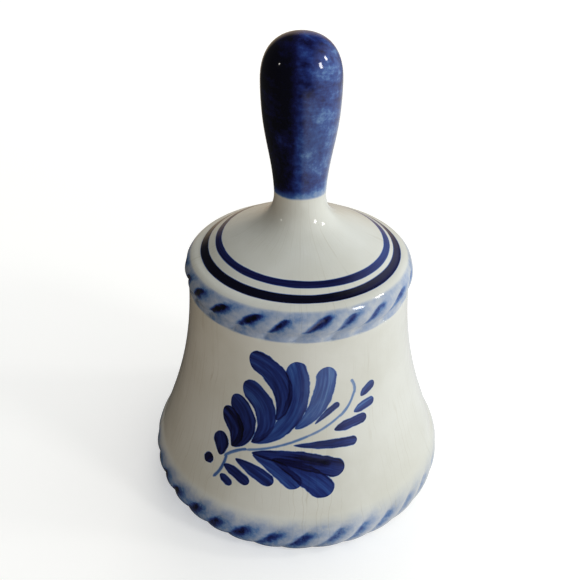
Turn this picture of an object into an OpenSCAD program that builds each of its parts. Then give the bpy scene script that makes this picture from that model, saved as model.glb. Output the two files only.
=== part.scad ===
// Porcelain hand bell: a hollow casting with two moulded rope borders, a hollow grip luted to its
// neck, and a ball clapper on a wire that hangs from a toggle bar laid across the hole in the crown.
// Z is up, the bell stands on its rim at z = 0, and its axis is the Z axis.

/* [Bell] */
// Height of the skirt, from the rim to the middle of the shoulder rope
skirt_h = 67.4; // [60:0.2:82]
// Height from the middle of the shoulder rope to the joint on the neck
dome_h = 21.6; // [19:0.2:27]
// Largest radius of the bell, on the rim rope
mouth_r = 42.6; // [38:0.2:52]
// Radius of the waist, where the skirt runs in under the shoulder rope
waist_r = 29.9; // [27:0.1:37]
// Thickness of the casting
wall = 3.2; // [2.4:0.1:4]
// Width of the flat foot ring that the bell stands on
foot_w = 1.6; // [1:0.1:2.4]

/* [Rope borders] */
// Height of the rim rope
rim_rope_h = 14; // [11:0.2:17]
// Height of the shoulder rope
shoulder_rope_h = 10; // [8:0.2:12]
// How far the rim rope's half-round section bulges out from its chord
rim_rope_bulge = 4.2; // [3.2:0.1:5.2]
// How far the shoulder rope's half-round section bulges out from its chord
shoulder_rope_bulge = 4.3; // [3.4:0.1:5.2]
// How far the shoulder rope stands out from the waist
shoulder_rope_proud = 0.9; // [0.6:0.1:1.5]
// Strands round the rim rope
rim_strands = 32; // [26:1:38]
// Strands round the shoulder rope
shoulder_strands = 22; // [18:1:26]
// Slope of the strands above the horizontal, in degrees
strand_slope = 45; // [38:1:52]
// Radius of the groove between two strands
groove_r = 1.4; // [1:0.1:2]
// Depth of the groove between two strands
groove_depth = 0.8; // [0.4:0.1:1]

/* [Neck and grip] */
// Outer radius of the neck at the joint
neck_r = 6.7; // [6.4:0.1:8.4]
// Radius of the hollow inside the neck
neck_bore_r = 4; // [3.8:0.1:4.2]
// Length of the grip above the joint
grip_h = 41; // [34:0.5:52]
// Largest radius of the grip
grip_r = 10; // [8.4:0.1:12]
// Height of the grip's domed end above its widest place
grip_crown_h = 11.3; // [9.5:0.1:14]
// Thickness of the grip's wall
grip_wall = 3; // [2:0.1:3.4]

/* [Crown] */
// Thickness of the web that carries the clapper
crown_web = 2.2; // [1.6:0.1:3]
// Radius of the hole through the web
crown_hole_r = 2.6; // [2.4:0.1:3]

/* [Clapper] */
// Diameter of the toggle bar
bar_d = 1.2; // [1:0.1:1.6]
// Diameter of the clapper wire
wire_d = 0.9; // [0.8:0.05:1.2]
// Height of the ball's middle above the rim
ball_h = 20; // [16:0.5:30]
// Diameter of the clapper ball
ball_d = 14; // [11:0.5:17]
// Depth ground off each end of the ball, round its hole
ball_flat = 0.2; // [0.1:0.05:0.4]
// Diameter of the retaining washer
washer_d = 3.6; // [3:0.1:5]
// Thickness of the retaining washer
washer_t = 0.5; // [0.4:0.1:0.8]
// Diameter of the wire's peened head
head_d = 1.9; // [1.6:0.1:2.4]

/* [Clearances] */
// Radial clearance of what turns: eye on bar, ball on wire
running_gap = 0.08; // [0.04:0.01:0.1]
// Gap between faces that rest on each other
seat_gap = 0.02; // [0.01:0.01:0.04]
// Gap between each end of the toggle bar and the wall of the neck
bar_end_gap = 0.3; // [0.2:0.05:0.5]

/* [Hidden] */
$fn = 96;
eps = 0.01;
curve_steps = 24;
bead_steps = 12;

joint_z = skirt_h + dome_h;
top_z = joint_z + grip_h;

// Rope borders: each is half an ellipse on a vertical chord at radius *_chord_r
rim_chord_r = mouth_r - rim_rope_bulge;
shoulder_chord_r = waist_r + shoulder_rope_proud - shoulder_rope_bulge;

// Skirt: it leaves the rim rope just under its top edge and ends just inside the shoulder rope
skirt_foot = [mouth_r - 2, rim_rope_h - 1.5];
skirt_top = [waist_r, skirt_h - 2];
skirt_flare = 8;
skirt_line = bezier(
    skirt_foot,
    skirt_foot + [-0.28 * skirt_flare, skirt_flare],
    [waist_r, skirt_top[1] - 28],
    skirt_top);

// Dome: from the top of the shoulder rope in a hollow curve up to the joint on the neck
dome_foot = [shoulder_chord_r + 0.5, skirt_h + shoulder_rope_h / 2 - 0.3];
dome_line = bezier(
    dome_foot,
    [shoulder_chord_r - 8.5, dome_foot[1] + 7.5],
    [neck_r - 0.3, joint_z - 10],
    [neck_r, joint_z]);

// Grip: a club that widens from the neck, then a domed end
grip_wide_z = top_z - grip_crown_h;
grip_side = bezier(
    [neck_r, joint_z],
    [neck_r + 0.6, joint_z + 12],
    [grip_r, grip_wide_z - 14.5],
    [grip_r, grip_wide_z]);
grip_end = bezier(
    [grip_r, grip_wide_z],
    [grip_r, grip_wide_z + 0.64 * grip_crown_h],
    [0.64 * grip_r, top_z],
    [0, top_z]);
grip_line = concat(grip_side, tail(grip_end));

// Inner faces, parallel to the outer ones. The hollow of the dome ends in a flat ceiling
ceiling_r = neck_r + 4.8;
cavity_skirt = inset(skirt_line, wall);
cavity_dome = [for (p = inset(dome_line, wall)) if (p[0] > ceiling_r) p];
ceiling_z = cavity_dome[len(cavity_dome) - 1][1];
grip_hollow = inset(grip_line, grip_wall);

// Toggle bar on the crown web, and the wire that hangs from it
web_top_z = ceiling_z + crown_web;
bar_z = web_top_z + bar_d / 2 + seat_gap;
bar_l = 2 * (neck_bore_r - bar_end_gap);
eye_r = bar_d / 2 + running_gap + wire_d / 2;
washer_top_z = ball_h - ball_d / 2 + ball_flat - seat_gap;
head_top_z = washer_top_z - washer_t - seat_gap;

// Point on a cubic curve, and the curve as a list of points
function curve_point(a, b, c, d, t) =
    pow(1 - t, 3) * a + 3 * pow(1 - t, 2) * t * b + 3 * (1 - t) * t * t * c + pow(t, 3) * d;
function bezier(a, b, c, d) =
    [for (i = [0:curve_steps]) curve_point(a, b, c, d, i / curve_steps)];
function tail(list) = [for (i = [1:len(list) - 1]) list[i]];
function reverse(list) = [for (i = [len(list) - 1:-1:0]) list[i]];
function unit(v) = v / norm(v);

// The line moved towards the axis by depth, at right angles to itself
function inset(line, depth) =
    [for (i = [0:len(line) - 1])
        let (ahead = line[min(i + 1, len(line) - 1)])
        let (behind = line[max(i - 1, 0)])
        let (run = unit(ahead - behind))
        [max(0, line[i][0] - depth * run[1]), line[i][1] + depth * run[0]]];

// Half-round section of a rope border
module rope_section(chord_r, z, height, bulge)
    polygon([for (i = [0:bead_steps])
        let (a = -90 + 180 * i / bead_steps)
        [chord_r + bulge * cos(a), z + height / 2 * sin(a)]]);

// The grooves between the strands of a rope border
module strand_grooves(count, crest_r, z, height)
    for (i = [0:count - 1])
        rotate([0, 0, i * 360 / count])
            translate([0, groove_depth - groove_r - crest_r, z])
                rotate([0, 90 - strand_slope, 0])
                    cylinder(h = 2 * height, r = groove_r, center = true, $fn = 24);

module body_section() {
    polygon(concat(
        [[0, 0], [rim_chord_r, 0], [rim_chord_r, rim_rope_h / 2]],
        skirt_line,
        [[shoulder_chord_r, skirt_h]],
        dome_line,
        [[0, joint_z]]));
    rope_section(rim_chord_r, rim_rope_h / 2, rim_rope_h, rim_rope_bulge);
    rope_section(shoulder_chord_r, skirt_h, shoulder_rope_h, shoulder_rope_bulge);
}

module cavity_section() {
    polygon(concat(
        [[0, -1], [rim_chord_r - foot_w, -1], [rim_chord_r - foot_w, 0]],
        cavity_skirt,
        cavity_dome,
        [[0, ceiling_z]]));
    square([crown_hole_r, web_top_z + eps]);
    translate([0, web_top_z])
        square([neck_bore_r, joint_z - web_top_z + 1]);
}

module bell_body() color("ivory")
    difference() {
        rotate_extrude()
            difference() {
                body_section();
                cavity_section();
            }
        strand_grooves(rim_strands, mouth_r, rim_rope_h / 2, rim_rope_h);
        strand_grooves(shoulder_strands, waist_r + shoulder_rope_proud, skirt_h, shoulder_rope_h);
    }

module handle() color("royalblue")
    rotate_extrude()
        polygon(concat(grip_line, reverse(grip_hollow)));

module toggle_bar() color("silver")
    translate([0, 0, bar_z])
        rotate([0, 90, 0])
            cylinder(h = bar_l, d = bar_d, center = true);

// Eye round the bar, straight shank and peened head
module clapper_wire() color("goldenrod") {
    translate([0, 0, bar_z])
        rotate([0, 90, 0])
            rotate_extrude()
                translate([eye_r, 0])
                    circle(d = wire_d, $fn = 32);
    translate([0, 0, head_top_z])
        cylinder(h = bar_z - eye_r - head_top_z, d = wire_d, $fn = 32);
    translate([0, 0, head_top_z])
        rotate_extrude()
            intersection() {
                circle(d = head_d);
                translate([0, -head_d])
                    square(head_d);
            }
}

module retaining_washer() color("silver")
    translate([0, 0, washer_top_z - washer_t])
        difference() {
            cylinder(h = washer_t, d = washer_d);
            translate([0, 0, -eps])
                cylinder(h = washer_t + 2 * eps, d = wire_d + 2 * running_gap);
        }

module clapper_ball() color("ivory")
    translate([0, 0, ball_h])
        rotate_extrude()
            difference() {
                intersection() {
                    circle(d = ball_d);
                    translate([0, ball_flat - ball_d / 2])
                        square([ball_d, ball_d - 2 * ball_flat]);
                }
                translate([-ball_d, -ball_d])
                    square([ball_d + wire_d / 2 + running_gap, 2 * ball_d]);
            }

bell_body();
handle();
toggle_bar();
clapper_wire();
retaining_washer();
clapper_ball();
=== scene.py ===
import math

import bpy
import numpy as np
from mathutils import Euler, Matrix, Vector


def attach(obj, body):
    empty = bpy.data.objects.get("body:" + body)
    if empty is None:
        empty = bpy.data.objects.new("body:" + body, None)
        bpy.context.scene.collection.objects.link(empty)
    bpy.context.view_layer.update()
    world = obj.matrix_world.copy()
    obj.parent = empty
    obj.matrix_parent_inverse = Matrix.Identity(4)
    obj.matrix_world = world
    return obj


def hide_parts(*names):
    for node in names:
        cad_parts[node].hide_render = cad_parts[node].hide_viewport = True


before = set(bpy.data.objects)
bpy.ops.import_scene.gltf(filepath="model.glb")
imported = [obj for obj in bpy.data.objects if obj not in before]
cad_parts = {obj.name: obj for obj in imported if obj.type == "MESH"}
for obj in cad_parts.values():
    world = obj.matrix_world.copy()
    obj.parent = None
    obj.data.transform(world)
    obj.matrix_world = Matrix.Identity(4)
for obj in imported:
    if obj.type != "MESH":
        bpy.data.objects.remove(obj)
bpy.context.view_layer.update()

# ---------------------------------------------------------------- sizes, in millimetres
MM = 0.001
SKIRT_H = 67.4             # rim to the middle of the shoulder rope
DOME_H = 21.6              # shoulder rope to the joint on the neck
GRIP_H = 41.0
MOUTH_R = 42.6
WAIST_R = 29.9
WALL = 3.2
FOOT_W = 1.6
NECK_R = 6.7
NECK_BORE_R = 4.0
CROWN_WEB = 2.2
CROWN_HOLE_R = 2.6
CEILING_R = NECK_R + 4.8   # edge of the flat ceiling under the crown
GRIP_R = 10.0
GRIP_CROWN_H = 11.3
GRIP_WALL = 3.0
RIM_BULGE = 4.2            # how far each rope stands out from its chord
SHOULDER_BULGE = 4.3
SHOULDER_PROUD = 0.9       # how far the shoulder rope stands out from the waist
SKIRT_FLARE = 8.0          # how high the curve out of the rim rope reaches
JOINT_Z = SKIRT_H + DOME_H
TOP_Z = JOINT_Z + GRIP_H

# Meshes: points round each piece, the radius below which a row is one point on the axis,
# and the angle in degrees from which an edge stays sharp
BELL_AROUND = 448
GRIP_AROUND = 224
ON_AXIS = 1e-4
SHARP_EDGE = 40

# Heights and spacing of the rows on the bell's outside: close on the ropes, wider between them
BODY_BANDS = [(0, 14.2, 0.5), (14.2, 62.4, 1.1), (62.4, 72.6, 0.4), (72.6, JOINT_Z, 0.9)]

# The spray's own part of the skirt: two heights, an angle either way, and the radius that
# turns its angles into millimetres
SPRAY_LOW = 15.5
SPRAY_HIGH = 61.5
SPRAY_TURN = 0.85
SPRAY_R = 33.0

# Rope borders: half an ellipse on a vertical chord, cut into strands that climb to the right.
# lean is how many strands a groove crosses from foot to top, and shift turns the pattern.
# relief_top, mark_low, mark_high, wash_top and wash_fade are degrees on the section.
# left and wash_left set how much darker the marks and the wash are painted on the bell's left and how
# much lighter on its right: painted shade and painted light, as the light falls.
RIM_ROPE = dict(
    chord=MOUTH_R - RIM_BULGE, bulge=RIM_BULGE, z=7.0, half=7.0,
    strands=32, lean=2.1, shift=0.21, depth=0.65, relief_top=36, seed=3,
    mark_low=-44, mark_high=12, mark_width=0.14, left=0.8, dark=0.2, soft=0.2, bleed=0.15,
    wash_top=30, wash_fade=34, wash=0.2, wash_left=0.75)
SHOULDER_ROPE = dict(
    chord=WAIST_R + SHOULDER_PROUD - SHOULDER_BULGE, bulge=SHOULDER_BULGE, z=SKIRT_H, half=5.0,
    strands=22, lean=1.75, shift=0.42, depth=0.7, relief_top=34, seed=8,
    mark_low=-30, mark_high=28, mark_width=0.16, left=0.7, dark=0.4, soft=0.1, bleed=0.2,
    wash_top=50, wash_fade=6, wash=0.15, wash_left=0.35)


# ---------------------------------------------------------------- camera
def look_from(target, distance, elevation, roll, focal_px, shift_px, frame_px=580):
    """A camera in front of the object, above it and a little rolled."""
    e = math.radians(elevation)
    camera = bpy.data.objects.new("camera", bpy.data.cameras.new("camera"))
    bpy.context.scene.collection.objects.link(camera)
    back = Vector((0, -math.cos(e), math.sin(e)))
    camera.location = Vector(target) + back * distance
    camera.rotation_euler = Euler((math.pi / 2 - e, 0, 0))
    camera.rotation_euler.rotate_axis("Z", math.radians(roll))
    camera.data.sensor_width = 36
    camera.data.lens = focal_px / frame_px * 36
    camera.data.shift_x = -shift_px[0] / frame_px
    camera.data.shift_y = shift_px[1] / frame_px
    camera.data.dof.use_dof = False
    camera.data.clip_start = 0.005
    bpy.context.scene.camera = camera


look_from(target=(0, 0, 0.065), distance=0.225, elevation=31.83, roll=0.8,
          focal_px=823.5, shift_px=(8.9, -19.7))


# ---------------------------------------------------------------- outlines
def bezier(a, b, c, d, steps):
    t = np.linspace(0, 1, steps + 1)[:, None]
    a, b, c, d = (np.array(p, float) for p in (a, b, c, d))
    return (1 - t) ** 3 * a + 3 * (1 - t) ** 2 * t * b + 3 * (1 - t) * t ** 2 * c + t ** 3 * d


def inset(line, depth):
    """The line moved towards the axis by depth, at right angles to itself."""
    run = np.gradient(line, axis=0)
    run /= np.linalg.norm(run, axis=1)[:, None]
    moved = line + depth * np.stack([-run[:, 1], run[:, 0]], 1)
    moved[:, 0] = np.maximum(moved[:, 0], 0)
    return moved


def lengths(line):
    """How far along the line each of its points lies."""
    steps = np.linalg.norm(np.diff(line, axis=0), axis=1)
    return np.concatenate([[0], np.cumsum(steps)])


def points_between(line, first, last, spacing):
    """Evenly spaced points on the line, from one length along it to another."""
    length = lengths(line)
    even = np.linspace(first, last, int(round((last - first) / spacing)) + 1)
    return np.stack([np.interp(even, length, line[:, k]) for k in (0, 1)], 1)


def resample(line, spacing):
    return points_between(line, 0, lengths(line)[-1], spacing)


def soften(line, passes):
    """The line with its corners rounded, ends kept, as glaze rounds them."""
    line = line.copy()
    for _ in range(passes):
        line[1:-1] = line[1:-1] * 0.5 + (line[:-2] + line[2:]) * 0.25
    return line


def bead(rope, low, high, steps):
    """The part of a rope border's section between two angles, in degrees."""
    a = np.radians(np.linspace(low, high, steps))
    r = rope["chord"] + rope["bulge"] * np.cos(a)
    z = rope["z"] + rope["half"] * np.sin(a)
    return np.stack([r, z], 1)


skirt_foot = np.array([MOUTH_R - 2, 12.5])
skirt_line = bezier(skirt_foot, skirt_foot + [-0.28 * SKIRT_FLARE, SKIRT_FLARE],
                    [WAIST_R, SKIRT_H - 30], [WAIST_R, SKIRT_H - 2], 80)
dome_foot = np.array([SHOULDER_ROPE["chord"] + 0.5, SKIRT_H + 4.7])
dome_line = bezier(dome_foot, [SHOULDER_ROPE["chord"] - 8.5, dome_foot[1] + 7.5],
                   [NECK_R - 0.3, JOINT_Z - 10], [NECK_R, JOINT_Z], 24)
grip_wide_z = TOP_Z - GRIP_CROWN_H
grip_line = np.concatenate([
    bezier([NECK_R, JOINT_Z], [NECK_R + 0.6, JOINT_Z + 12],
           [GRIP_R, grip_wide_z - 14.5], [GRIP_R, grip_wide_z], 60),
    bezier([GRIP_R, grip_wide_z], [GRIP_R, grip_wide_z + 0.64 * GRIP_CROWN_H],
           [0.64 * GRIP_R, TOP_Z], [0, TOP_Z], 40)[1:]])


def whole_outside():
    """Outer face of bell and grip in one line, so that the joint between them doesn't show."""
    skirt = skirt_line[(skirt_line[:, 1] > 13.1) & (skirt_line[:, 1] < SKIRT_H - 3.1)]
    dome = dome_line[dome_line[:, 0] < SHOULDER_ROPE["chord"] - 0.1]
    line = np.concatenate([bead(RIM_ROPE, -90, 60, 60), skirt, bead(SHOULDER_ROPE, -37, 88, 60),
                           dome, grip_line[1:]])
    return soften(resample(line, 0.25), 8)


def stretch(line, low, high, spacing):
    """The part of a rising line between two heights, both included, at a new spacing."""
    first, last = (np.interp(z, line[:, 1], lengths(line)) for z in (low, high))
    return points_between(line, first, last, spacing)


def straight(start, end, spacing):
    return resample(np.array([start, end]), spacing)


def hollow_line():
    """Inner face of the bell from the joint down the neck, through the crown and down the hollow."""
    dome = inset(dome_line, WALL)
    dome = dome[dome[:, 0] > CEILING_R]
    ceiling_z = dome[-1][1]
    web_top = ceiling_z + CROWN_WEB
    hollow = np.concatenate([[[CROWN_HOLE_R, ceiling_z]], dome[::-1], inset(skirt_line, WALL)[::-1],
                             [[RIM_ROPE["chord"] - FOOT_W, 0.6]]])
    bore = straight([NECK_BORE_R, JOINT_Z], [NECK_BORE_R, web_top], 1.2)
    web = straight([NECK_BORE_R, web_top], [CROWN_HOLE_R, web_top], 0.7)
    hole = straight([CROWN_HOLE_R, web_top], [CROWN_HOLE_R, ceiling_z], 1.1)
    return np.concatenate([bore, web[1:], hole[1:], soften(resample(hollow, 2.2), 2)[1:]])


# ---------------------------------------------------------------- rope borders
def smooth_step(low, high, x):
    t = np.clip((x - low) / (high - low), 0, 1)
    return t * t * (3 - 2 * t)


def strand_phase(rope, angle, turn):
    """Whole numbers lie in the grooves; a modeller's hand makes them wander a little."""
    rng = np.random.default_rng(rope["seed"])
    phase = rope["strands"] * turn / (2 * math.pi) - rope["lean"] * angle / math.pi - rope["shift"]
    for waves in (3, 5, 8, 13):
        phase = phase + rng.uniform(0.02, 0.05) * np.sin(waves * turn + rng.uniform(0, 6.3))
    return phase


def rope_relief(rope, angle, turn):
    """How far the surface sinks between two strands, in millimetres."""
    crest = np.abs(np.sin(math.pi * strand_phase(rope, angle, turn))) ** 0.6
    top = math.radians(rope["relief_top"])
    return rope["depth"] * (1 - crest) * smooth_step(top, top - 0.5, angle)


def comma_shape(rope, along, away, wide):
    """One brush mark: pointed at its foot, widest at its round head."""
    head = np.sqrt(np.clip(1 - (np.maximum(along - 0.75, 0) / 0.25) ** 2, 0, 1))
    width = rope["mark_width"] * wide * (0.22 + 0.78 * np.clip(along, 0, 1) ** 0.8) * head
    inside = smooth_step(0, 0.12, along) * smooth_step(1.02, 0.98, along)
    return smooth_step(width + rope["soft"], width - rope["soft"], np.abs(away)) * inside


def bleed_shape(rope, along, away, wide):
    """The ink that ran from a mark to its right."""
    spread = smooth_step(0.34, 0.0, np.abs(away - 0.12)) * smooth_step(0.1, 0.6, along)
    return spread * smooth_step(1.25, 0.8, along) * rope["bleed"] * wide


def rope_ink_and_shade(rope, angle, turn):
    """Blue on a rope border: a thin wash, and one comma in each groove that bleeds to its right, both
    with painted shade towards the bell's left and painted light towards its right.
    """
    rng = np.random.default_rng(rope["seed"] + 1)
    dark, wide, low, high = (rng.uniform(a, b, rope["strands"]) for a, b in
                             ((0.75, 1.25), (0.75, 1.3), (-6, 6), (-4, 4)))
    phase = strand_phase(rope, angle, turn)
    nearest = np.round(phase)
    mark = nearest.astype(int) % rope["strands"]
    degrees = np.degrees(angle)
    foot = rope["mark_low"]
    along = (degrees - foot - low[mark]) / (rope["mark_high"] + high[mark] - foot)
    away = phase - nearest - 0.05 * np.clip(along, 0, 1) ** 2
    marks = comma_shape(rope, along, away, wide[mark]) * dark[mark] * rope["dark"]
    marks = marks + bleed_shape(rope, along, away, wide[mark])
    top, fade = rope["wash_top"], rope["wash_fade"]
    drift = 1 + 0.22 * np.cos(2 * math.pi * (phase - 0.22))
    wash = smooth_step(top + fade, top - fade, degrees) * rope["wash"] * drift
    # Painted shade and light: the marks and the wash darken towards the bell's left and lighten towards
    # its right.
    shade_leftwards = -np.sin(turn)
    return marks * (1 + rope["left"] * shade_leftwards) + wash * (1 + rope["wash_left"] * shade_leftwards)


# ---------------------------------------------------------------- meshes
def cut_row(r, z, turn, ropes):
    """Radius and ink all round one row, with the rope borders' strands cut into it."""
    radius = np.full(len(turn), r)
    blue = np.zeros(len(turn))
    for rope in ropes:
        if r > rope["chord"] and abs(z - rope["z"]) < rope["half"]:
            angle = math.atan2((z - rope["z"]) / rope["half"], (r - rope["chord"]) / rope["bulge"])
            radius = radius - rope_relief(rope, angle, turn)
            blue = rope_ink_and_shade(rope, angle, turn)
    return radius, blue


def skin(rows):
    """Faces between each row and the next, and from the last row back to the first."""
    faces = []
    around = len(rows[0])
    for low, high in zip(rows, rows[1:] + rows[:1]):
        for i in range(around):
            j = (i + 1) % around
            corners = tuple(dict.fromkeys((low[i], low[j], high[j], high[i])))
            if len(corners) > 2:
                faces.append(corners)
    return faces


def revolve(name, line, around, ropes=()):
    """A closed line turned about Z. A row on the axis becomes one point."""
    turn = np.linspace(0, 2 * math.pi, around, endpoint=False)
    points, ink, rows = [], [], []
    for r, z in line:
        if r < ON_AXIS:
            rows.append([len(points)] * around)
            points.append((0, 0, z))
            ink.append(0)
            continue
        radius, blue = cut_row(r, z, turn, ropes)
        rows.append(list(range(len(points), len(points) + around)))
        points.extend(zip(radius * np.sin(turn), -radius * np.cos(turn), np.full(around, z)))
        ink.extend(blue)
    mesh = bpy.data.meshes.new(name)
    mesh.from_pydata([(x * MM, y * MM, z * MM) for x, y, z in points], [], skin(rows))
    layer = mesh.attributes.new("rope_ink_and_shade", "FLOAT", "POINT")
    layer.data.foreach_set("value", np.array(ink, dtype=np.float32))
    mesh.shade_smooth()
    mesh.set_sharp_from_angle(angle=math.radians(SHARP_EDGE))
    piece = bpy.data.objects.new(name, mesh)
    bpy.context.scene.collection.objects.link(piece)
    return piece


outside = whole_outside()
bands = [stretch(outside, *band) for band in BODY_BANDS]
body_line = np.concatenate([band[:-1] for band in bands] + [bands[-1][-1:]])
body_line[0] = [RIM_ROPE["chord"], 0]
foot_inner_r = RIM_ROPE["chord"] - FOOT_W
foot_line = np.array([[foot_inner_r + 0.15, 0.15], [foot_inner_r + 0.45, 0]])
bell = revolve("glazed_bell", np.concatenate([body_line, hollow_line(), foot_line]), BELL_AROUND,
               (RIM_ROPE, SHOULDER_ROPE))
grip_outside = stretch(outside, JOINT_Z, TOP_Z, 0.7)
grip_outside[-1] = [0, TOP_Z]
grip_inside = resample(inset(grip_line, GRIP_WALL)[::-1], 1.6)
grip_inside[0][0] = 0
grip = revolve("painted_grip", np.concatenate([grip_outside, grip_inside]), GRIP_AROUND)


# ---------------------------------------------------------------- sums inside materials
class Sum:
    """A number in a node tree that adds, multiplies and compares like a plain one."""

    def __init__(self, tree, socket):
        self.tree = tree
        self.socket = socket

    def math(self, operation, *others, clamp=False):
        node = self.tree.nodes.new("ShaderNodeMath")
        node.operation = operation
        node.use_clamp = clamp
        for socket, value in zip(node.inputs, (self,) + others):
            feed(self.tree, socket, value)
        return Sum(self.tree, node.outputs[0])

    def __add__(self, other):
        return self.math("ADD", other)

    def __sub__(self, other):
        return self.math("SUBTRACT", other)

    def __rsub__(self, other):
        return (self * -1).math("ADD", other)

    def __mul__(self, other):
        return self.math("MULTIPLY", other)

    def __abs__(self):
        return self.math("ABSOLUTE")

    def times_plus(self, factor, extra, clamp=False):
        return self.math("MULTIPLY_ADD", factor, extra, clamp=clamp)

    def step(self, low, high):
        """0 below low and 1 above high, or the other way round, with a soft change between."""
        node = self.tree.nodes.new("ShaderNodeMapRange")
        node.interpolation_type = "SMOOTHSTEP"
        falling = low > high
        for name, value in (("Value", self), ("From Min", min(low, high)), ("From Max", max(low, high)),
                            ("To Min", float(falling)), ("To Max", float(not falling))):
            feed(self.tree, node.inputs[name], value)
        return Sum(self.tree, node.outputs["Result"])


def feed(tree, socket, value):
    """Link a Sum to a socket, or set a plain value on it."""
    if isinstance(value, Sum):
        tree.links.new(value.socket, socket)
    else:
        socket.default_value = value


def vector(tree, x, y, z):
    node = tree.nodes.new("ShaderNodeCombineXYZ")
    for socket, value in zip(node.inputs, (x, y, z)):
        feed(tree, socket, value)
    return Sum(tree, node.outputs[0])


def noise(tree, place, scale, detail=2.0, rough=0.5):
    """Cloudy noise from about 0.2 to 0.8, with its blobs about 1/scale of place's unit wide."""
    node = tree.nodes.new("ShaderNodeTexNoise")
    feed(tree, node.inputs["Vector"], place)
    for name, value in (("Scale", scale), ("Detail", detail), ("Roughness", rough)):
        node.inputs[name].default_value = value
    return Sum(tree, node.outputs["Fac"])


def blend(tree, share, first, second, kind="MIX"):
    """Two colours mixed, each a plain one or the Sum of a socket that carries one."""
    node = tree.nodes.new("ShaderNodeMixRGB")
    node.blend_type = kind
    for name, value in (("Fac", share), ("Color1", first), ("Color2", second)):
        feed(tree, node.inputs[name], value)
    return Sum(tree, node.outputs["Color"])


def ripple(tree, shader, height, strength, distance):
    """Unevenness too fine for the mesh."""
    node = tree.nodes.new("ShaderNodeBump")
    node.inputs["Strength"].default_value = strength
    node.inputs["Distance"].default_value = distance
    feed(tree, node.inputs["Height"], height)
    tree.links.new(node.outputs["Normal"], shader.inputs["Normal"])


def new_material(name):
    material = bpy.data.materials.new(name)
    material.use_nodes = True
    return material, material.node_tree, material.node_tree.nodes["Principled BSDF"]


class Place:
    """Where a material is on the piece, in millimetres in the shared frame."""

    def __init__(self, tree):
        self.tree = tree
        coordinates = tree.nodes.new("ShaderNodeTexCoord")
        scaled = tree.nodes.new("ShaderNodeVectorMath")
        scaled.operation = "SCALE"
        scaled.inputs["Scale"].default_value = 1 / MM
        tree.links.new(coordinates.outputs["Object"], scaled.inputs[0])
        parts = tree.nodes.new("ShaderNodeSeparateXYZ")
        tree.links.new(scaled.outputs[0], parts.inputs[0])
        self.xyz = Sum(tree, scaled.outputs[0])
        self.x, self.y, self.z = (Sum(tree, socket) for socket in parts.outputs)
        self.turn = self.x.math("ARCTAN2", self.y * -1)


def from_axis(place, right=0.0, back=0.0):
    """Distance from the axis, or from a line beside it."""
    x = place.x - right
    y = place.y - back
    return (y * y + x * x).math("SQRT")


# ---------------------------------------------------------------- paint
def stroke(place, u, v, wobble, base, head, sag, width, ink, seed, point=0.55, edge=(-0.12, 0.32)):
    """One brush stroke from its pointed base to its round head, on an arc that bows by sag.

    Positive sag bows to the left of the way from base to head. point is the share of the
    length over which the stroke widens, edge where its colour starts and is full. Sizes are
    millimetres.
    """
    tree = place.tree
    run = np.subtract(head, base)
    chord = math.hypot(*run)
    forward = run / chord
    bow = np.array([-forward[1], forward[0]]) * (1 if sag > 0 else -1)
    radius = (chord ** 2 / 4 + sag ** 2) / (2 * abs(sag))
    centre = np.add(base, head) / 2 - bow * (radius - abs(sag))
    length = 2 * math.asin(min(1, chord / 2 / radius)) * radius
    du = u - float(centre[0])
    dv = v - float(centre[1])
    outwards = dv.times_plus(float(bow[1]), du * float(bow[0]))
    onwards = dv.times_plus(float(forward[1]), du * float(forward[0]))
    along = onwards.math("ARCTAN2", outwards).times_plus(radius, length / 2)
    across = dv.times_plus(dv, du * du).math("SQRT") - radius
    taper = along.math("MULTIPLY", 1 / (point * length), clamp=True).math("POWER", 0.55)
    end = along.times_plus(1 / width, 1 - length / width, clamp=True)
    round_end = (1 - end * end).math("SQRT")
    body = taper * round_end
    half = body * (wobble * (0.12 * width + 0.08) + width)
    gap = half - abs(across)
    streaks = noise(tree, vector(tree, across * 0.9, along * 0.07, seed * 3.7), 1.0, 3.0, 0.62)
    rim = gap.step(0.8, 0.0)
    thick = streaks.times_plus(1.25 * ink, 0.30 * ink) + rim * (0.26 * ink)
    return gap.step(*edge) * body.step(0.0, 0.12) * thick


# A spray of leaves: base, head, sag, half-width and strength of each stroke
LEAVES = [
    ((-5.5, 39.5), (-13.6, 56.4), -5.4, 3.3, 0.66), ((-11.8, 32.0), (-1.2, 56.8), -6.0, 3.0, 0.55),
    ((-11.6, 32.0), (-15.2, 47.8), -5.2, 3.1, 0.64), ((-16.9, 29.2), (-18.5, 42.9), -4.4, 2.8, 0.68),
    ((-16.9, 29.0), (-20.8, 38.4), -2.6, 2.7, 0.78), ((-0.5, 37.4), (7.8, 55.0), -2.8, 2.9, 0.47),
    ((4.7, 38.6), (11.5, 43.7), 0.3, 0.95, 0.6), ((-0.8, 32.7), (15.9, 31.8), 0.3, 1.35, 0.64),
    ((-11.3, 29.0), (11.6, 24.6), 1.9, 2.6, 0.66), ((-6.0, 28.5), (7.8, 18.6), 1.5, 3.0, 0.62),
    ((-11.0, 28.6), (0.6, 21.2), 1.2, 2.3, 0.55), ((-15.4, 26.0), (-5.5, 21.6), 0.5, 1.9, 0.72),
    ((-19.9, 25.2), (-21.2, 31.6), -0.6, 2.4, 0.8)]

# Short dabs, blunt at both ends
DABS = [
    ((18.0, 43.8), (22.8, 46.3), 0.3, 1.35, 0.55), ((15.6, 39.9), (22.3, 41.3), 0.3, 1.4, 0.52),
    ((9.8, 36.2), (19.4, 37.4), 0.3, 1.5, 0.66), ((-18.3, 23.2), (-11.3, 20.2), 0.5, 1.45, 0.68),
    ((-18.8, 20.1), (-15.5, 18.4), 0.2, 1.2, 0.66), ((-23.6, 21.3), (-21.8, 24.0), 0.2, 1.35, 0.82)]

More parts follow.
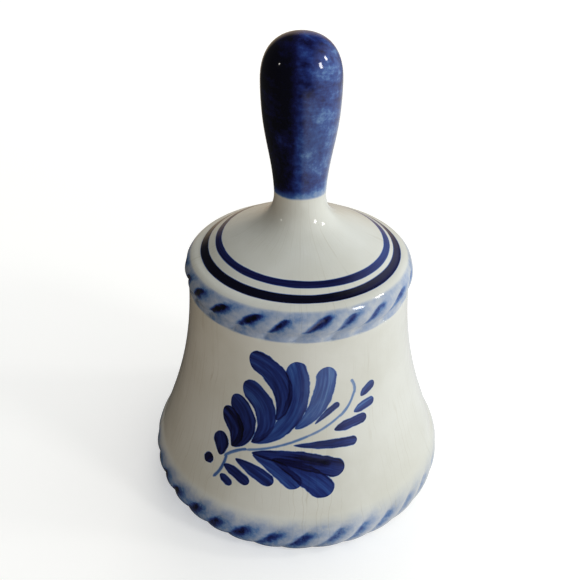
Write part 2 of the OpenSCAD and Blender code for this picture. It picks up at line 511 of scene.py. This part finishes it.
# Its stem, thin and even, in short arcs
STEM = [
    ((-20.6, 18.4), (-17.9, 26.2), -0.6, 0.45, 0.34), ((-18.6, 25.4), (-12.6, 29.7), 0.5, 0.45, 0.34),
    ((-13.6, 29.2), (3.0, 35.4), -0.3, 0.4, 0.24), ((2.0, 35.0), (12.0, 40.3), -0.4, 0.4, 0.22),
    ((11.0, 39.5), (16.1, 46.3), -0.8, 0.45, 0.24), ((15.9, 45.2), (15.1, 49.7), -0.6, 0.48, 0.24)]

# Where the brush was loaded heaviest: almost black, with no edge of its own
POOL = ((-5.0, 29.7), (8.5, 26.6), 0.9, 2.1, 0.86)


def lay(under, over):
    """Two coats of blue: the stronger one shows, a little darker where they overlap."""
    return under.math("MAXIMUM", over) + under.math("MINIMUM", over) * 0.22


def leaf_spray(place):
    """The painted spray on the front of the skirt."""
    u = place.turn * SPRAY_R
    v = place.z
    wobble = noise(place.tree, vector(place.tree, u, v, 0.0), 0.45, 2.0) * 2 - 1
    total = stroke(place, u, v, wobble, *POOL, 77, 0.5, (0.05, 2.0))
    for seed, leaf in enumerate(LEAVES):
        total = lay(total, stroke(place, u, v, wobble, *leaf, seed))
    for seed, dab in enumerate(DABS):
        total = lay(total, stroke(place, u, v, wobble, *dab, 20 + seed, 0.3))
    for seed, part in enumerate(STEM):
        total = total.math("MAXIMUM", stroke(place, u, v, wobble, *part, 40 + seed, 0.1))
    return total


def ring(place, right, radius, half, ink):
    """A band painted on the wheel, a little off centre, on the dome. It gets lighter towards its right
    side.
    """
    tree = place.tree
    lap = vector(tree, place.turn.math("COSINE"), place.turn.math("SINE"), radius)
    wave = noise(tree, lap, 2.2, 3.0)
    away = abs(from_axis(place, right, -0.45) - radius)
    lines = vector(tree, from_axis(place) * 2.5, place.turn * 1.2, radius)
    streaks = noise(tree, lines, 1.0, 2.0)
    thick = streaks.times_plus(0.3, ink - 0.15) - place.x.step(9.0, 24.0) * 0.22
    above_rope = place.z.step(71.6, 71.9)
    return (away - wave * 0.35).step(half - 0.02, half - 0.32) * thick * above_rope


def craze(place):
    """Hairline cracks in the glaze, long down the skirt and fanning out over the dome."""
    tree = place.tree
    bend = noise(tree, place.xyz, 0.09, 3.0)
    where = vector(tree, place.turn * 13.0 + bend * 1.5, place.z * 0.006, bend * 0.15)
    cells = tree.nodes.new("ShaderNodeTexVoronoi")
    cells.feature = "DISTANCE_TO_EDGE"
    cells.inputs["Scale"].default_value = 1.0
    feed(tree, cells.inputs["Vector"], where)
    line = Sum(tree, cells.outputs["Distance"]).step(0.02, 0.003)
    return line * noise(tree, place.xyz, 0.06, 2.0).step(0.4, 0.62)


# How much ink gives which colour, from the bare glaze to nearly black
INK_COLOURS = [
    (0.0, (0.79, 0.80, 0.75)), (0.12, (0.42, 0.50, 0.66)), (0.28, (0.125, 0.245, 0.52)),
    (0.42, (0.037, 0.092, 0.335)), (0.58, (0.017, 0.034, 0.19)), (0.78, (0.006, 0.007, 0.06)),
    (1.0, (0.003, 0.003, 0.012))]
WARM_CLOUD = (0.90, 0.89, 0.86, 1)
CRACK_STAIN = (0.62, 0.56, 0.46, 1)
BARE_CLAY = (0.62, 0.53, 0.41, 1)


def ink_colour(tree, ink):
    ramp = tree.nodes.new("ShaderNodeValToRGB")
    ramp.color_ramp.interpolation = "LINEAR"
    stops = ramp.color_ramp.elements
    for at, _ in INK_COLOURS[1:-1]:
        stops.new(at)
    for stop, (at, colour) in zip(stops, INK_COLOURS):
        stop.position = at
        stop.color = colour + (1,)
    feed(tree, ramp.inputs["Fac"], ink)
    return Sum(tree, ramp.outputs["Color"])


def glaze(name, paint=(), bare_foot=False):
    """Cream glaze over underglaze blue: colour from the ink, a wavy gloss and fine crazing."""
    material, tree, shader = new_material(name)
    place = Place(tree)
    layers = [layer(place) for layer in paint]
    ink = sum(layers[1:], layers[0]) if layers else 0.0
    cloud = noise(tree, place.xyz, 0.045, 3.0)
    colour = blend(tree, cloud.step(0.35, 0.7), ink_colour(tree, ink), WARM_CLOUD, "MULTIPLY")
    colour = blend(tree, craze(place) * 0.28, colour, CRACK_STAIN, "MULTIPLY")
    rough = cloud.times_plus(0.05, 0.06)
    if bare_foot:
        bare = place.z.step(0.45, 0.15)
        colour = blend(tree, bare, colour, BARE_CLAY)
        rough = rough + bare * 0.6
    feed(tree, shader.inputs["Base Color"], colour)
    feed(tree, shader.inputs["Roughness"], rough)
    shader.inputs["IOR"].default_value = 1.52
    ripple(tree, shader, noise(tree, place.xyz, 0.22, 2.0), 0.25, 0.0004)
    return material


def rope_paint(place):
    """The ink and the painted shade stored on the points, mottled by the glaze."""
    attribute = place.tree.nodes.new("ShaderNodeAttribute")
    attribute.attribute_name = "rope_ink_and_shade"
    laid = Sum(place.tree, attribute.outputs["Fac"])
    mottle = noise(place.tree, place.xyz, 0.55, 5.0, 0.7)
    return laid * mottle.times_plus(2.0, 0.0)


def outer_ring(place):
    return ring(place, 0.42, 25.65, 1.0, 1.0)


def inner_ring(place):
    return ring(place, 0.9, 22.3, 0.82, 0.76)


def grip_paint(place):
    """Blue dabbed and brushed round the grip, in a darker second coat on its left that also stands for
    painted shade there, and paler on its right front as painted light.
    """
    tree = place.tree
    lobes = vector(tree, place.turn.math("COSINE"), place.turn.math("SINE"), 3.0)
    start = place.z - noise(tree, lobes, 0.9, 3.0) * 1.3
    swept = vector(tree, place.turn * 0.9, place.z * 0.42 + place.turn * 0.5, 5.0)
    round_streaks = noise(tree, swept, 1.0, 4.0, 0.6) - 0.5
    long_streaks = noise(tree, vector(tree, place.turn * 3.5, place.z * 0.08, 9.0), 1.0, 3.0, 0.6) - 0.5
    mottle = noise(tree, place.xyz, 0.75, 5.0, 0.68) - 0.5
    clouds = noise(tree, place.xyz, 0.16, 3.0, 0.5) - 0.5
    upper = place.z.step(104.0, 122.0)
    # Painted light: less blue on the grip's right front, where the light falls.
    painted_light_side = (place.x + place.y * 0.3).step(-2.5, 6.0)
    base = upper.times_plus(0.10, 0.52) - painted_light_side * 0.14
    ink = base + mottle * 0.6 + clouds * 0.7 + round_streaks * upper.times_plus(0.7, 0.2)
    ink = ink + long_streaks * upper.times_plus(-0.3, 0.3)
    # A darker second coat on the left, partly real coat and partly painted shade on the side away from
    # the light.
    second = (place.x + clouds * 4.0 + round_streaks * 4.0).step(0.2, -3.2) * place.y.step(6.0, 1.0)
    ink = (ink + second * 0.38).math("MAXIMUM", 0.2)
    return ink * (start.step(88.8, 89.6) * 0.45 + start.step(89.4, 92.0) * 0.55)


bell.data.materials.append(
    glaze("glaze_painted_borders", (rope_paint, outer_ring, inner_ring), bare_foot=True))
bell.data.materials.append(glaze("glaze_painted_front", (leaf_spray,)))
bell.data.materials.append(glaze("glaze_inside"))
grip.data.materials.append(glaze("glaze_blue_grip", (grip_paint,)))


def choose_slots(piece, outside_rows, around):
    """Front of the skirt takes the spray's material and the hollow takes the plain one."""
    for face in piece.data.polygons:
        if face.index >= outside_rows * around:
            face.material_index = 2
            continue
        x, y, z = face.center / MM
        if SPRAY_LOW < z < SPRAY_HIGH and abs(math.atan2(x, -y)) < SPRAY_TURN:
            face.material_index = 1


choose_slots(bell, len(body_line), BELL_AROUND)


# ---------------------------------------------------------------- metal and ball
def metal(name, colour, rough, tarnish):
    """Drawn metal: fine scratches along Z and a cloud of tarnish."""
    material, tree, shader = new_material(name)
    place = Place(tree)
    scratches = vector(tree, place.x * 4.0, place.y * 4.0, place.z * 0.4)
    fine = noise(tree, scratches, 1.0, 4.0)
    dull = noise(tree, place.xyz, 0.5, 3.0).step(0.45, 0.75) * 0.7
    feed(tree, shader.inputs["Base Color"], blend(tree, dull, colour, tarnish))
    shader.inputs["Metallic"].default_value = 1.0
    feed(tree, shader.inputs["Roughness"], fine.times_plus(0.25, rough))
    ripple(tree, shader, fine, 0.3, 0.00005)
    return material


def dress(node, material):
    """Give a CAD node a material and leave its mesh alone."""
    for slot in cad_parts[node].material_slots:
        slot.material = material


steel = metal("drawn_steel", (0.52, 0.53, 0.54, 1), 0.22, (0.30, 0.28, 0.26, 1))
brass = metal("brass_wire", (0.78, 0.56, 0.26, 1), 0.2, (0.34, 0.23, 0.12, 1))
dress("toggle_bar", steel)
dress("retaining_washer", steel)
dress("clapper_wire", brass)
dress("clapper_ball", glaze("glaze_ball"))

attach(bell, "bell")
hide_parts("bell_body")
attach(grip, "bell")
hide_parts("handle")


# ---------------------------------------------------------------- floor and light
def pale_floor():
    """Pale to the camera. The studio world stands in for its bounce and its reflection."""
    bpy.ops.mesh.primitive_plane_add(size=12, location=(0, 0, 0))
    floor = bpy.context.object
    floor.name = "floor"
    material, _, shader = new_material("pale_floor")
    shader.inputs["Base Color"].default_value = (0.80, 0.80, 0.79, 1)
    shader.inputs["Roughness"].default_value = 0.9
    shader.inputs["Specular IOR Level"].default_value = 0.1
    shader.inputs["Emission Color"].default_value = (1, 1, 1, 1)
    shader.inputs["Emission Strength"].default_value = 0.42
    floor.data.materials.append(material)
    floor.visible_diffuse = False
    floor.visible_glossy = False


def softbox(name, bearing, height, distance, size, watts, colour):
    """A square light, its bearing counted from the front towards the right, in degrees."""
    turn, lift = math.radians(bearing), math.radians(height)
    away = Vector((math.sin(turn) * math.cos(lift), -math.cos(turn) * math.cos(lift), math.sin(lift)))
    light = bpy.data.lights.new(name, "AREA")
    light.shape = "RECTANGLE"
    light.size, light.size_y = size
    light.energy = watts
    light.color = colour
    lamp = bpy.data.objects.new(name, light)
    lamp.location = away * distance + Vector((0, 0, 0.08))
    lamp.rotation_euler = away.to_track_quat("Z", "Y").to_euler()
    bpy.context.scene.collection.objects.link(lamp)
    return lamp


def studio_world():
    """Pale to the camera. As a light, warm and dim on the left and bright on the right.

    The gloss sees a dark room with a bright right side and table, and a warm wall behind.
    """
    world = bpy.data.worlds.new("studio")
    bpy.context.scene.world = world
    world.use_nodes = True
    tree = world.node_tree
    coordinates = tree.nodes.new("ShaderNodeTexCoord")
    parts = tree.nodes.new("ShaderNodeSeparateXYZ")
    tree.links.new(coordinates.outputs["Generated"], parts.inputs[0])
    across, away, up = (Sum(tree, socket) for socket in parts.outputs)
    ground = blend(tree, across.times_plus(0.5, 0.5), (0.42, 0.31, 0.20, 1), (0.76, 0.76, 0.74, 1))
    sky = blend(tree, across.step(-0.82, 0.72), (0.02, 0.015, 0.01, 1), (0.95, 0.98, 0.98, 1))
    light = blend(tree, up.step(-0.15, 0.15), ground, sky)
    wall = blend(tree, away.step(0.8, 1.0), (0.04, 0.04, 0.04, 1), (0.48, 0.38, 0.27, 1))
    table = across.step(-0.05, 0.3) * up.step(-0.15, -0.4)
    bright = across.step(0.3, 0.9).math("MAXIMUM", table)
    mirrored = blend(tree, bright, wall, (0.75, 0.76, 0.76, 1))
    path = tree.nodes.new("ShaderNodeLightPath")
    for_gloss, for_camera = (Sum(tree, path.outputs[name])
                             for name in ("Is Glossy Ray", "Is Camera Ray"))
    colour = blend(tree, for_gloss, light, mirrored)
    colour = blend(tree, for_camera, colour, (0.835, 0.84, 0.835, 1))
    feed(tree, tree.nodes["Background"].inputs["Color"], colour)


pale_floor()
studio_world()
softbox("window_right", 60, 27, 0.7, (0.11, 0.14), 0.9, (1.0, 0.99, 0.96))
softbox("window_far_right", 90, 32, 0.7, (0.08, 0.1), 0.5, (1.0, 0.99, 0.97))
softbox("lamp_left", -73, 24, 0.7, (0.03, 0.03), 0.06, (1.0, 0.95, 0.88))
back_fill = softbox("back_fill", 180, 25, 0.9, (0.5, 0.4), 1.9, (1.0, 0.94, 0.86))
back_fill.visible_glossy = False
bpy.context.scene.view_settings.view_transform = "Standard"
